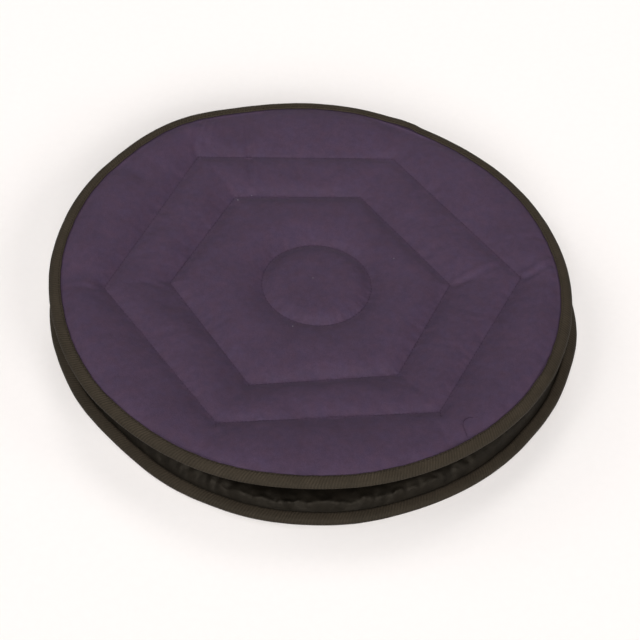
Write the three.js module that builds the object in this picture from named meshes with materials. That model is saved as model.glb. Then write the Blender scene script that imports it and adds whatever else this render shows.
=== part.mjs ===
// Swivel seat cushion: a quilted round pad that turns on a thinner padded base, both edged with bias binding.
// Millimetres, +Z up. The origin is the middle of the base, on the surface that the cushion stands on.

import * as THREE from 'three';

// Driving sizes of the whole cushion
const SPOKES = 72;
const FIRST_SPOKE_DEG = 7;
const CLEARANCE = 0.3;
const TAPE_THICKNESS = 1.2;

// Upper pad: its middle is the turning axis, a little to the left of the base's middle
const TURN_AXIS_X = -3.5;
const RIM_HEIGHT = 42;
const UPPER_TAPE_WIDTH = 9.5;
const UNDERSIDE_FLAT_RADIUS = 128;

// Base pad
const BASE_TOP = 12;
const BASE_FLAT_RADIUS = 136;
const BASE_TAPE_WIDTH = 8.5;
const ROLL_HEIGHT = 1.1;

// Quilting: how far the padding swells between two sewn lines, and how soon beside a line
const SWELL = 5.0;
const SWELL_REACH = 8;
const SPOKES_PER_SIDE = SPOKES / 6;
const CIRCLE_RADIUS = 42.5;
const CIRCLE_CENTRE = new THREE.Vector2(4.5, 0);

// Materials
const PURPLE_CLOTH = new THREE.MeshStandardMaterial({ color: 0x4a3d50, roughness: 0.95, metalness: 0 });
const OLIVE_TAPE = new THREE.MeshStandardMaterial({ color: 0x3c372d, roughness: 0.9, metalness: 0 });
const DARK_SATIN = new THREE.MeshStandardMaterial({ color: 0x1d1b19, roughness: 0.45, metalness: 0 });

// The upper pad's rim round the turning axis: outer radius of its binding, and how far the edge curls up
const UPPER_RIM = [
  { azimuth: 0, radius: 202.6, lift: 0.0 },
  { azimuth: 30, radius: 202.0, lift: 0.0 },
  { azimuth: 60, radius: 200.2, lift: 0.0 },
  { azimuth: 86, radius: 202.6, lift: 0.6 },
  { azimuth: 108, radius: 202.6, lift: 0.4 },
  { azimuth: 128, radius: 205.0, lift: 3.2 },
  { azimuth: 148, radius: 203.4, lift: 1.0 },
  { azimuth: 175, radius: 201.4, lift: 0.0 },
  { azimuth: 195, radius: 200.8, lift: 0.0 },
  { azimuth: 225, radius: 203.0, lift: 0.0 },
  { azimuth: 252, radius: 204.2, lift: 0.0 },
  { azimuth: 275, radius: 201.2, lift: -0.4 },
  { azimuth: 303, radius: 201.4, lift: 0.0 },
  { azimuth: 330, radius: 202.0, lift: 0.0 },
];

// The base's rim round its own middle: outer radius of its binding, and the height of the satin roll beside it
const BASE_RIM = [
  { azimuth: 0, radius: 208.6, roll: 1.6 },
  { azimuth: 40, radius: 203.6, roll: 0.3 },
  { azimuth: 90, radius: 203.0, roll: 0.0 },
  { azimuth: 140, radius: 203.8, roll: 0.4 },
  { azimuth: 183, radius: 205.8, roll: 0.6 },
  { azimuth: 211, radius: 202.9, roll: 1.8 },
  { azimuth: 226, radius: 201.2, roll: 3.0 },
  { azimuth: 248, radius: 205.2, roll: 2.0 },
  { azimuth: 262, radius: 206.6, roll: -0.2 },
  { azimuth: 278, radius: 206.1, roll: 0.2 },
  { azimuth: 299, radius: 203.6, roll: 2.0 },
  { azimuth: 326, radius: 203.3, roll: 3.6 },
  { azimuth: 343, radius: 205.2, roll: 2.8 },
];

// Corners of the two sewn hexagons, round the turning axis
const OUTER_HEXAGON = [
  { azimuth: 7.1, radius: 164.6 },
  { azimuth: 67.7, radius: 156.7 },
  { azimuth: 128.2, radius: 163.0 },
  { azimuth: 189.5, radius: 159.0 },
  { azimuth: 248.1, radius: 159.6 },
  { azimuth: 309.8, radius: 157.8 },
];
const INNER_HEXAGON = [
  { azimuth: 5.7, radius: 108.7 },
  { azimuth: 71.3, radius: 106.7 },
  { azimuth: 126.8, radius: 111.4 },
  { azimuth: 186.0, radius: 108.7 },
  { azimuth: 249.9, radius: 113.7 },
  { azimuth: 309.3, radius: 110.5 },
];

// How far each sewn line lies below the rim: the pad is dished
const LINE_HEIGHT = { centre: -9.9, circle: -9.9, inner: -9.3, outer: -4.8, rim: 0 };

// Stations along a spoke of the quilted cover, from the middle to the binding: a share of the way between two lines
const COVER_STATIONS = [
  { from: 'centre', to: 'circle', share: 0.45 },
  { from: 'centre', to: 'circle', share: 0.75 },
  { from: 'centre', to: 'circle', share: 0.91 },
  { from: 'centre', to: 'circle', share: 1 },
  { from: 'circle', to: 'inner', share: 0.07 },
  { from: 'circle', to: 'inner', share: 0.22 },
  { from: 'circle', to: 'inner', share: 0.5 },
  { from: 'circle', to: 'inner', share: 0.8 },
  { from: 'circle', to: 'inner', share: 0.94 },
  { from: 'circle', to: 'inner', share: 1 },
  { from: 'inner', to: 'outer', share: 0.08 },
  { from: 'inner', to: 'outer', share: 0.25 },
  { from: 'inner', to: 'outer', share: 0.5 },
  { from: 'inner', to: 'outer', share: 0.75 },
  { from: 'inner', to: 'outer', share: 0.92 },
  { from: 'inner', to: 'outer', share: 1 },
  { from: 'outer', to: 'rim', share: 0.13 },
  { from: 'outer', to: 'rim', share: 0.42 },
  { from: 'outer', to: 'rim', share: 0.75 },
  { from: 'outer', to: 'rim', share: 1 },
];

// Creases in the cover, each from one point to another round the turning axis
const CREASES = [
  { azimuth: 7.2, radius: 166, endAzimuth: 11.6, endRadius: 192, depth: 1.4, width: 6 },
  { azimuth: 5.9, radius: 110, endAzimuth: 12.1, endRadius: 142, depth: 1.0, width: 6 },
  { azimuth: 189.8, radius: 159, endAzimuth: 189.1, endRadius: 182, depth: 1.0, width: 6 },
  { azimuth: 127.1, radius: 166, endAzimuth: 123.0, endRadius: 190, depth: 1.1, width: 6 },
  { azimuth: 115.0, radius: 120, endAzimuth: 110.5, endRadius: 168, depth: 0.9, width: 6 },
  { azimuth: 298.8, radius: 162, endAzimuth: 296.7, endRadius: 181, depth: 0.8, width: 6 },
];

// Sections of the pads and bindings. inward is the distance in from the binding's outer edge.
// The upper pad's sections have heights above the rim, and the base's have heights above the floor.
const UPPER_UNDERSIDE = [
  { radius: 64, height: BASE_TOP + CLEARANCE },
  { radius: UNDERSIDE_FLAT_RADIUS, height: BASE_TOP + CLEARANCE },
  { radius: 146, height: 15.4 },
  { radius: 163, height: 21.6 },
  { radius: 177, height: 28.8 },
];
const UPPER_FLANGE = [
  { inward: 9.8, height: -5.1 },
  { inward: 9.0, height: -3.95 },
  { inward: 3.9, height: -3.6 },
  { inward: 2.0, height: -2.25 },
  { inward: 3.9, height: -0.95 },
  { inward: 9.7, height: -0.62 },
];
const UPPER_TAPE = [
  { inward: 8.8, height: -4.25 - TAPE_THICKNESS },
  { inward: 3.0, height: -5.1 },
  { inward: 0.7, height: -4.1 },
  { inward: 0, height: -2.25 },
  { inward: 0.7, height: -0.6 },
  { inward: 2.8, height: 0.5 },
  { inward: UPPER_TAPE_WIDTH, height: 0.9 },
  { inward: UPPER_TAPE_WIDTH, height: 0.9 - TAPE_THICKNESS },
  { inward: 3.4, height: -0.62 },
  { inward: 1.5, height: -2.25 },
  { inward: 3.4, height: -3.9 },
  { inward: 8.8, height: -4.25 },
];
const BASE_EDGE = [
  { inward: 9.8, height: 0 },
  { inward: 9.4, height: 1.9 },
  { inward: 4.1, height: 2.05 },
  { inward: 2.0, height: 3.8 },
  { inward: 4.1, height: 5.45 },
  { inward: 8.7, height: 6.05 },
  { inward: 9.4, height: 7.6 },
];
const BASE_ROLL = [
  { inward: 13, height: 11.0, puckered: 0.6 },
  { inward: 18, height: BASE_TOP + ROLL_HEIGHT, puckered: 1 },
  { inward: 27, height: BASE_TOP + 0.4, puckered: 0.7 },
  { inward: 44, height: BASE_TOP - 0.3, puckered: 0 },
];
const BASE_TAPE = [
  { inward: 9.0, height: CLEARANCE },
  { inward: 2.8, height: CLEARANCE },
  { inward: 0.6, height: 1.6 },
  { inward: 0, height: 3.8 },
  { inward: 0.7, height: 5.8 },
  { inward: 3.0, height: 7.1 },
  { inward: BASE_TAPE_WIDTH, height: 7.6 },
  { inward: BASE_TAPE_WIDTH, height: 7.6 - TAPE_THICKNESS },
  { inward: 3.7, height: 5.8 },
  { inward: 1.5, height: 3.8 },
  { inward: 3.7, height: 1.7 },
  { inward: 9.0, height: CLEARANCE + TAPE_THICKNESS },
];
const COVER_EDGE_INWARD = UPPER_TAPE_WIDTH + 0.8;
const CURL_START_INWARD = 50;

// Reads one column of a table of azimuths, smoothly all the way round.
function around(table, column, azimuth) {
  const turned = ((azimuth % 360) + 360) % 360;
  let index = table.length - 1;
  while (index > 0 && table[index].azimuth > turned) {
    index -= 1;
  }
  const here = table[index];
  const next = table[(index + 1) % table.length];
  const span = (next.azimuth - here.azimuth + 360) % 360;
  const share = THREE.MathUtils.smoothstep(turned - here.azimuth, 0, span);
  return THREE.MathUtils.lerp(here[column], next[column], share);
}

function spokeAzimuth(spoke) {
  return FIRST_SPOKE_DEG + (360 / SPOKES) * spoke;
}

function polar(azimuth, radius) {
  const angle = THREE.MathUtils.degToRad(azimuth);
  return new THREE.Vector2(radius * Math.cos(angle), radius * Math.sin(angle));
}

// The point of a sewn hexagon on one spoke: its sides are straight and shared out evenly.
function hexagonPoint(corners, spoke) {
  const side = Math.floor(spoke / SPOKES_PER_SIDE) % 6;
  const start = polar(corners[side].azimuth, corners[side].radius);
  const next = corners[(side + 1) % 6];
  const end = polar(next.azimuth, next.radius);
  return start.lerp(end, (spoke % SPOKES_PER_SIDE) / SPOKES_PER_SIDE);
}

function linePoint(line, spoke) {
  const azimuth = spokeAzimuth(spoke);
  if (line === 'centre') {
    return CIRCLE_CENTRE.clone();
  }
  if (line === 'circle') {
    return polar(azimuth, CIRCLE_RADIUS).add(CIRCLE_CENTRE);
  }
  if (line === 'inner') {
    return hexagonPoint(INNER_HEXAGON, spoke);
  }
  if (line === 'outer') {
    return hexagonPoint(OUTER_HEXAGON, spoke);
  }
  return polar(azimuth, around(UPPER_RIM, 'radius', azimuth) - COVER_EDGE_INWARD);
}

// Padding swells away from a sewn line, quickly at first.
function swell(distance) {
  return SWELL * (1 - Math.exp(-distance / SWELL_REACH));
}

// Depth of the creases at a point of the cover: each is a soft trough that fades out at its ends.
function creaseDepth(point) {
  let depth = 0;
  for (const crease of CREASES) {
    const start = polar(crease.azimuth, crease.radius);
    const end = polar(crease.endAzimuth, crease.endRadius);
    const along = end.clone().sub(start);
    const offset = point.clone().sub(start);
    const share = THREE.MathUtils.clamp(offset.dot(along) / along.lengthSq(), 0, 1);
    const aside = start.add(along.multiplyScalar(share)).distanceTo(point) / crease.width;
    depth += crease.depth * Math.exp(-aside * aside);
  }
  return depth;
}

// How far the curl of the rim lifts a point of the upper pad.
function curl(azimuth, inward) {
  const share = 1 - THREE.MathUtils.smoothstep(inward, UPPER_TAPE_WIDTH, CURL_START_INWARD);
  return around(UPPER_RIM, 'lift', azimuth) * share;
}

function coverPoint(station, spoke) {
  const start = linePoint(station.from, spoke);
  const end = linePoint(station.to, spoke);
  const point = start.clone().lerp(end, station.share);
  const toStart = station.from === 'centre' ? Infinity : point.distanceTo(start);
  const distance = Math.min(toStart, point.distanceTo(end));
  const dish = THREE.MathUtils.lerp(LINE_HEIGHT[station.from], LINE_HEIGHT[station.to], station.share);
  const azimuth = spokeAzimuth(spoke);
  const inward = around(UPPER_RIM, 'radius', azimuth) - point.length();
  const creased = station.share < 1 ? creaseDepth(point) : 0;
  const height = RIM_HEIGHT + dish + swell(distance) - creased + curl(azimuth, inward);
  return new THREE.Vector3(point.x, point.y, height);
}

// A point of the upper pad's edge or of its binding, which follows that edge.
function upperEdgePoint(station, spoke) {
  const azimuth = spokeAzimuth(spoke);
  const point = polar(azimuth, around(UPPER_RIM, 'radius', azimuth) - station.inward);
  const height = RIM_HEIGHT + station.height + curl(azimuth, UPPER_TAPE_WIDTH);
  return new THREE.Vector3(point.x, point.y, height);
}

function upperUndersidePoint(station, spoke) {
  const azimuth = spokeAzimuth(spoke);
  const point = polar(azimuth, station.radius);
  const inward = around(UPPER_RIM, 'radius', azimuth) - station.radius;
  return new THREE.Vector3(point.x, point.y, station.height + curl(azimuth, inward));
}

// A point of the base's edge, its binding or the satin roll beside it.
function baseEdgePoint(station, spoke) {
  const azimuth = spokeAzimuth(spoke);
  const point = polar(azimuth, around(BASE_RIM, 'radius', azimuth) - station.inward);
  const pucker = (station.puckered ?? 0) * around(BASE_RIM, 'roll', azimuth);
  return new THREE.Vector3(point.x, point.y, station.height + pucker);
}

function basePadPoint(station, spoke) {
  if (station.radius === undefined) {
    return baseEdgePoint(station, spoke);
  }
  const point = polar(spokeAzimuth(spoke), station.radius);
  return new THREE.Vector3(point.x, point.y, station.height);
}

function upperPadPoint(station, spoke) {
  if (station.from !== undefined) {
    return coverPoint(station, spoke);
  }
  if (station.inward !== undefined) {
    return upperEdgePoint(station, spoke);
  }
  return upperUndersidePoint(station, spoke);
}

// Turns a section of stations through a full circle, then sets each point where place says.
// A section runs anticlockwise, seen with the axis on its left, so that the faces point out.
function turned(stations, place) {
  const section = stations.map((station, index) => new THREE.Vector2(1, index));
  const geometry = new THREE.LatheGeometry(section, SPOKES);
  const position = geometry.getAttribute('position');
  for (let spoke = 0; spoke <= SPOKES; spoke += 1) {
    stations.forEach((station, index) => {
      const point = place(station, spoke % SPOKES);
      position.setXYZ(spoke * stations.length + index, point.x, point.y, point.z);
    });
  }
  geometry.computeVertexNormals();
  return geometry;
}

function ring(stations, place) {
  return turned([...stations, stations[0]], place);
}

function named(name, geometry, material) {
  const mesh = new THREE.Mesh(geometry, material);
  mesh.name = name;
  return mesh;
}

// One filled solid: dark underside, edge held in the binding, and the quilted cover.
function upperPad() {
  const coverInwards = [...COVER_STATIONS].reverse();
  const stations = [
    { radius: 0, height: BASE_TOP + CLEARANCE },
    ...UPPER_UNDERSIDE,
    ...UPPER_FLANGE,
    ...coverInwards,
    { from: 'centre', to: 'circle', share: 0 },
  ];
  return named('top_pad', turned(stations, upperPadPoint), PURPLE_CLOTH);
}

// One filled solid: flat underside, edge held in the binding, and the satin roll beside it.
function basePad() {
  const stations = [
    { radius: 0, height: 0 },
    ...BASE_EDGE,
    ...BASE_ROLL,
    { radius: BASE_FLAT_RADIUS, height: BASE_TOP },
    { radius: 0, height: BASE_TOP },
  ];
  return named('base_pad', turned(stations, basePadPoint), DARK_SATIN);
}

const upper = new THREE.Group();
upper.position.x = TURN_AXIS_X;
upper.add(upperPad());
upper.add(named('top_binding', ring(UPPER_TAPE, upperEdgePoint), OLIVE_TAPE));

const base = new THREE.Group();
base.add(basePad());
base.add(named('base_binding', ring(BASE_TAPE, baseEdgePoint), OLIVE_TAPE));

const cushion = new THREE.Group();
cushion.add(upper, base);

export default cushion;
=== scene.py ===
"""Swivel seat cushion: a quilted purple pad that turns on a dark satin base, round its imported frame."""

import math
import random

import bmesh
import bpy
import numpy as np
from bpy.props import FloatProperty, FloatVectorProperty, IntProperty, PointerProperty
from bpy.types import Operator, Panel, PropertyGroup
from mathutils import Matrix, Vector, noise
from mathutils.bvhtree import BVHTree


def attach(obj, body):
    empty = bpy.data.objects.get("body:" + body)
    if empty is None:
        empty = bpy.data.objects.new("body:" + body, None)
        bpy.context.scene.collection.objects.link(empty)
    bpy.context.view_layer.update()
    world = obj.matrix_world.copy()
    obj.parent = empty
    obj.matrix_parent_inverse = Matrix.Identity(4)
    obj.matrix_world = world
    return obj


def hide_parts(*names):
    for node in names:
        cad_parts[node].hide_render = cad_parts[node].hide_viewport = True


bl_info = {
    "name": "Swivel Seat Cushion",
    "version": (1, 0, 0),
    "blender": (4, 5, 0),
    "location": "3D View > Sidebar > Cushion",
    "description": "Makes the quilted pad, base, bias bindings and sewing of a swivel seat cushion",
    "category": "Object",
}

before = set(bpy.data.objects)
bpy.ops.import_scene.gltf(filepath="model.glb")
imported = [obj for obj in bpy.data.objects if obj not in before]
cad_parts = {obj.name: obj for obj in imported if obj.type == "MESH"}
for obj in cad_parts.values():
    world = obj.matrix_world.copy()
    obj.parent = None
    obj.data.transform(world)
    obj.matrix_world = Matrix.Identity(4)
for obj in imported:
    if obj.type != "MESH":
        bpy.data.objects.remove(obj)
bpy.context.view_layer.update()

# Sizes in this script are millimetres. MM turns them into Blender's metres.
MM = 0.001
TURN_AXIS_X = -3.5
RIM_HEIGHT = 42.0
BASE_TOP = 12.0
CLEARANCE = 0.3
UPPER_TAPE_WIDTH = 9.5
BASE_TAPE_WIDTH = 8.5
CIRCLE_RADIUS = 42.5
CIRCLE_CENTRE = Vector((4.5, 0.0))
COVER_EDGE_INWARD = UPPER_TAPE_WIDTH + 0.8
CURL_START_INWARD = 50.0

# The frame's solids have a section at each of these spokes.
FIRST_SPOKE_DEG = 7.0
FRAME_SPOKES = 72
PAD_STEPS = 300
BASE_STEPS = 450

# Rings of the cover inside the sewn circle, which the simulation leaves alone: the mesh is narrow there
CIRCLE_RINGS = 9
TAPE_STEPS = 360
RANDOM_SEED = 4

# Corners of the sewn hexagons round the turning axis, as (azimuth, radius)
OUTER_HEXAGON = [
    (7.1, 164.6), (67.7, 156.7), (128.2, 163.0), (189.5, 159.0), (248.1, 159.6), (309.8, 157.8),
]
INNER_HEXAGON = [
    (5.7, 108.7), (71.3, 106.7), (126.8, 111.4), (186.0, 108.7), (249.9, 113.7), (309.3, 110.5),
]
LINE_HEIGHT = {"centre": -9.9, "circle": -9.9, "inner": -9.3, "outer": -4.8, "rim": 0.0}
LINE_SWELL = {"centre": 1.25, "circle": 1.25, "inner": 0.85, "outer": 0.8, "rim": 0.7}

# Roundness of the padding beside a sewn line: 1 is a sharp valley, and 2 a soft one with a steep shoulder
SHOULDER = 2.0

# Creases of the cover: (azimuth, radius) of the start and of the end, height of the ridge, depth of the
# trough beside it, width, and the trough's side
CREASES = [
    ((7.4, 166), (11.8, 193), 1.1, 1.2, 2.6, -1),
    ((6.1, 110), (12.5, 143), 0.9, 1.0, 2.8, -1),
    ((21.7, 160), (20.1, 192), 0.4, 0.4, 2.6, -1),
    ((189.8, 159), (189.0, 182), 0.3, 0.5, 2.6, 1),
    ((189.0, 109), (186.3, 126), 0.3, 0.4, 2.6, 1),
    ((127.0, 166), (121.3, 190), 0.6, 1.1, 2.8, 1),
    ((124.0, 168), (119.0, 188), 0.5, 0.8, 2.4, 1),
    ((116.1, 116), (112.0, 148), 0.5, 1.1, 2.6, 1),
    ((111.6, 156), (110.5, 170), 0.6, 1.3, 2.4, 1),
    ((298.8, 162), (296.7, 181), 0.15, 0.3, 2.6, 1),
    ((305.0, 163), (303.8, 186), 0.2, 0.3, 2.6, 1),
]

# Where a sewn line was run on past its corner, from and to an (azimuth, radius)
LINE_TAILS = [((309.8, 157.8), (308.4, 163.7)), ((248.1, 159.6), (249.2, 165.8))]

# Points of the loose thread, as (azimuth, radius, height above the cover)
LOOSE_END = [
    (309.5, 189.5, 0.2), (309.8, 186.6, 0.5), (310.1, 183.2, 0.7), (310.5, 180.2, 0.6),
    (311.2, 178.0, 0.5), (312.1, 177.0, 0.4), (313.2, 177.6, 0.3), (313.9, 179.4, 0.2),
]

# Specks of fluff on the cover, as (azimuth, radius)
FLUFF = [
    (24.6, 69.6), (47.0, 1.9), (127.3, 105.7), (257.1, 49.2), (120.1, 106.7),
]

# Tucks of the base's satin: azimuth, half its width in degrees, distance in from the edge, reach and height
SATIN_TUCKS = [
    (275.4, 3.5, 13.2, 3.6, 1.7),
    (268.0, 1.2, 11.5, 2.5, 1.2),
    (284.6, 1.4, 13.5, 3.0, 1.3),
    (291.5, 1.8, 11.5, 3.0, 1.2),
    (241.0, 10.0, 12.5, 2.2, -1.5),
]

# Ridges of the base's satin beside its binding: the crest sways in and out, and its height is jagged
SATIN_CREST = {
    "inward": 12.5, "sway": 2.5, "sway_pitch": 9, "lift": 1.0, "jag": 1.4, "jag_pitch": 4, "reach": 1.5,
}

# Where the satin may fold: above and inside the start of its roll, growing over BASE_SEAM_CALM beside the
# seam, and fading over RUFFLES_FADE up to where the upper pad presses it flat
ROLL_START_HEIGHT = 8.2
ROLL_START_INWARD = 9.6
BASE_SEAM_INWARD = 9.0
BASE_SEAM_CALM = 2.5
RUFFLES_END_INWARD = 62.0
RUFFLES_FADE = 12.0

# Puckers cross a seam. depth is in millimetres, or on the cover a share of the pucker setting. pitch is the
# distance between them, and fade how far beside the seam they reach.
SEAM_PUCKERS = [
    {"depth": 2.4, "pitch": 6.5, "fade": 8.0, "seed": 3.1},
    {"depth": 1.2, "pitch": 3.2, "fade": 3.5, "seed": 1.6},
]
RIM_PUCKERS = [{"depth": 1.6, "pitch": 7.5, "fade": 7.0, "seed": 9.7}]
SATIN_PUCKERS = [
    {"depth": 1.5, "pitch": 4.0, "fade": 8.0, "seed": 2.3},
    {"depth": 1.6, "pitch": 9.0, "fade": 20.0, "seed": 6.9},
]

# Broad unevenness of the padding, size millimetres across
COVER_WAVES = [{"height": 0.5, "size": 38, "seed": 5.2}, {"height": 0.28, "size": 15, "seed": 8.4}]
SATIN_WAVES = [{"height": 0.8, "size": 5.0, "seed": 4.4}]

# How far below the rim the cover reaches at most, how far beside the rim and a sewn line it is calmer, and
# how wide the painted shade in a sewn line's valley is
COVER_DEPTH = 14.0
RIM_CALM = 3.0
SEAM_CALM = 1.5
SEAM_SHADE_WIDTH = 0.8

# Mean radius of each pad's edge, which turns an angle into a distance along it
RIM_RADIUS = 190.0
BASE_RIM_RADIUS = 195.0

# A tape is a little thicker at a lap or tuck, and painted darker towards its outer fold as shade, up to
# FOLD_SHADE_WIDTH inwards
LAP_STEP = 0.9
LAP_LENGTH_DEG = 4.0
FOLD_SHADE_WIDTH = 4.5
RIB_PITCH = 2.3


def section(*rows):
    """Stations as (distance in from the binding's outer edge, height), and for the roll of the base
    also the share of its unevenness that a station takes."""
    return [dict(zip(("inward", "height", "puckered"), row)) for row in rows]


def round_section(*rows):
    """Stations as (radius, height), which don't follow the binding."""
    return [{"radius": radius, "height": height} for radius, height in rows]


# Heights of the upper pad's edge and tape are above the rim. All others are above the floor.
UNDERSIDE = round_section(
    (30, BASE_TOP + CLEARANCE), (80, BASE_TOP + CLEARANCE), (118, BASE_TOP + CLEARANCE),
    (129, BASE_TOP + CLEARANCE + 0.1), (138, 13.8), (147, 15.9), (155, 18.7), (163, 22.3),
    (170, 25.8), (177, 29.5), (183, 32.8),
)
UPPER_FLANGE = section(
    (9.8, -5.1), (9.0, -3.95), (3.9, -3.6), (2.1, -2.25), (3.9, -0.95), (9.6, -0.7), (10.1, -0.3),
)
UPPER_TAPE = section(
    (8.8, -5.45), (6.0, -5.35), (3.0, -5.2), (0.8, -4.2), (0.0, -2.6), (0.7, -1.1), (2.5, 0.1),
    (4.8, 0.75), (7.4, 0.9), (9.5, 0.85), (9.6, -0.3), (3.4, -0.6), (1.4, -2.25), (3.4, -3.9),
    (8.8, -4.25),
)
BASE_EDGE = section(
    (11.0, 0.0), (9.9, 0.3), (9.5, 1.9), (4.3, 2.1), (2.2, 3.8), (4.3, 5.4), (8.6, 5.95),
    (9.1, 6.9), (10.0, 8.6),
)
BASE_ROLL = section(
    (11.6, 10.2, 0.4), (13.6, 11.7, 0.7), (16.0, 12.8, 0.95), (18.6, 13.2, 1.0), (21.6, 13.1, 0.95),
    (25.0, 12.7, 0.8), (29.0, 12.3, 0.6), (33.5, 12.0, 0.4), (38.5, 11.8, 0.2), (44.0, 11.7, 0.0),
    (51.0, 11.7, 0.0),
)
BASE_TAPE = section(
    (9.0, 0.3), (2.8, 0.3), (0.6, 1.5), (0.0, 3.8), (0.7, 5.9), (3.0, 7.15), (6.0, 7.5),
    (8.6, 7.65), (8.5, 6.35), (3.7, 5.75), (1.5, 3.8), (3.7, 1.75), (9.0, 1.55),
)


class CushionSewing(PropertyGroup):
    """Sizes of the padding and the sewing."""

    swell: FloatProperty(
        name="Swell",
        description="Height of the shoulder beside a sewn line before the padding is inflated",
        default=0.0034,
        unit="LENGTH",
    )
    swell_reach: FloatProperty(
        name="Swell reach",
        description="Distance beside a sewn line over which that shoulder rises",
        default=0.0062,
        unit="LENGTH",
    )
    crown: FloatProperty(
        name="Crown",
        description="Further height of the padding towards the middle between two sewn lines",
        default=0.0015,
        unit="LENGTH",
    )
    crown_reach: FloatProperty(
        name="Crown reach",
        description="Distance beside a sewn line over which the crown rises",
        default=0.014,
        unit="LENGTH",
    )
    puff: FloatProperty(
        name="Puff",
        description="The most that the simulation may move the cover",
        default=0.0012,
        unit="LENGTH",
    )
    seam_bite: FloatProperty(
        name="Seam bite",
        description="How far the thread pulls a sewn line into the padding",
        default=0.0002,
        unit="LENGTH",
    )
    pressure: FloatProperty(
        name="Padding pressure",
        description="Cloth pressure that inflates the padding",
        default=3.0,
    )
    spare_cloth: FloatProperty(
        name="Spare cloth",
        description="Share by which the cover is longer than the padding beneath, which puckers it",
        default=0.007,
        subtype="FACTOR",
    )
    pucker: FloatProperty(
        name="Pucker",
        description="Depth of the small puckers beside a sewn line",
        default=0.00035,
        unit="LENGTH",
    )
    stitch_length: FloatProperty(
        name="Stitch length",
        description="Length of one stitch and the gap after it",
        default=0.0031,
        unit="LENGTH",
    )
    thread_width: FloatProperty(
        name="Thread width",
        description="Thickness of the sewing thread",
        default=0.00045,
        unit="LENGTH",
    )
    binding_stitch: FloatProperty(
        name="Binding stitch",
        description="Length of one stitch of the bindings and the gap after it",
        default=0.0036,
        unit="LENGTH",
    )
    settle_frames: IntProperty(
        name="Settling frames",
        description="Steps of the cloth simulation",
        default=10,
    )


class CushionColours(PropertyGroup):
    """Colours of the cloths and threads, as linear values."""

    purple: FloatVectorProperty(
        name="Cover",
        description="Brushed cloth of the quilted cover",
        default=(0.0525, 0.0308, 0.0578),
        subtype="COLOR",
    )
    olive: FloatVectorProperty(
        name="Binding",
        description="Ribbed bias tape",
        default=(0.0275, 0.0206, 0.0140),
        subtype="COLOR",
    )
    satin: FloatVectorProperty(
        name="Base",
        description="Dark satin of the base and of the upper pad's underside",
        default=(0.0068, 0.0053, 0.0037),
        subtype="COLOR",
    )
    thread: FloatVectorProperty(
        name="Quilting thread",
        description="Thread of the sewn lines",
        default=(0.044, 0.025, 0.048),
        subtype="COLOR",
    )


# Lights of the studio, each a broad panel far off: azimuth, elevation, and strength beside the key light's
LIGHTS = [
    ("key_light", 270, 52, 1.0),
    ("low_front_light", 270, 28, 0.69),
    ("right_front_light", 315, 28, 0.45),
    ("left_light", 176, 52, 0.23),
    ("back_light", 92, 46, 0.28),
    ("low_right_light", 0, 28, 0.18),
    ("low_left_front_light", 225, 28, 0.16),
    ("low_left_light", 158, 28, 0.25),
]
LIGHT_SPREAD_DEG = 24


class CushionStudio(PropertyGroup):
    """Light, floor and camera of the studio."""

    floor: FloatVectorProperty(
        name="Floor",
        description="Pale floor",
        default=(0.98, 0.935, 0.912),
        subtype="COLOR",
    )
    dome: FloatProperty(
        name="Dome light",
        description="Strength of the light from all round",
        default=0.02,
    )
    key: FloatProperty(
        name="Key light",
        description="Strength of the broad light from the front",
        default=1.64,
    )
    lens: FloatProperty(
        name="Lens",
        description="Focal length on a sensor 36 mm wide",
        default=97.47,
    )


# Measures taken from the frame


def spoke_rows(node, centre_x, wanted):
    """For each of the frame's spokes, what wanted makes of a CAD node's points there, as (radius, z)."""
    spokes = [[] for _ in range(FRAME_SPOKES)]
    step = 360 / FRAME_SPOKES
    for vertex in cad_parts[node].data.vertices:
        x = vertex.co.x / MM - centre_x
        y = vertex.co.y / MM
        azimuth = math.degrees(math.atan2(y, x))
        spoke = round((azimuth - FIRST_SPOKE_DEG) / step) % FRAME_SPOKES
        spokes[spoke].append((math.hypot(x, y), vertex.co.z / MM))
    return [wanted(points) for points in spokes]


def nose_radius(points):
    return max(points)[0]


def nose_height(points):
    return max(points)[1]


def roll_height(points):
    """Highest point of the base's cover just inside its binding."""
    edge = max(points)[0]
    return max(z for radius, z in points if radius > edge - 30)


UPPER_RADII = spoke_rows("top_binding", TURN_AXIS_X, nose_radius)
UPPER_NOSES = spoke_rows("top_binding", TURN_AXIS_X, nose_height)
BASE_RADII = spoke_rows("base_binding", 0.0, nose_radius)
BASE_ROLLS = spoke_rows("base_pad", 0.0, roll_height)
ROLL_TOP = 13.1
NOSE_BELOW_RIM = 2.25


def around(rows, turned):
    """Reads a list of the frame's spokes smoothly. turned is the angle in degrees from the first spoke."""
    place = turned / (360 / FRAME_SPOKES)
    index = math.floor(place)
    share = place - index
    before, here, after, beyond = (rows[(index + k) % FRAME_SPOKES] for k in (-1, 0, 1, 2))
    bend = 2 * before - 5 * here + 4 * after - beyond
    twist = 3 * (here - after) + beyond - before
    return here + 0.5 * share * (after - before + share * (bend + share * twist))


def polar(azimuth, radius):
    angle = math.radians(azimuth)
    return Vector((radius * math.cos(angle), radius * math.sin(angle)))


def inside_edge(radii, turned, inward):
    """The point at a distance in from a pad's edge, at an angle from the first spoke."""
    return polar(FIRST_SPOKE_DEG + turned, around(radii, turned) - inward)


def smooth_step(value, low, high):
    share = min(max((value - low) / (high - low), 0.0), 1.0)
    return share * share * (3 - 2 * share)


# Sewn lines


OUTER_CORNERS = [polar(*corner) for corner in OUTER_HEXAGON]
INNER_CORNERS = [polar(*corner) for corner in INNER_HEXAGON]


def hexagon_point(corners, turned):
    place = (turned % 360) / 60
    side = int(place) % 6
    return corners[side].lerp(corners[(side + 1) % 6], place - int(place))


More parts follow.
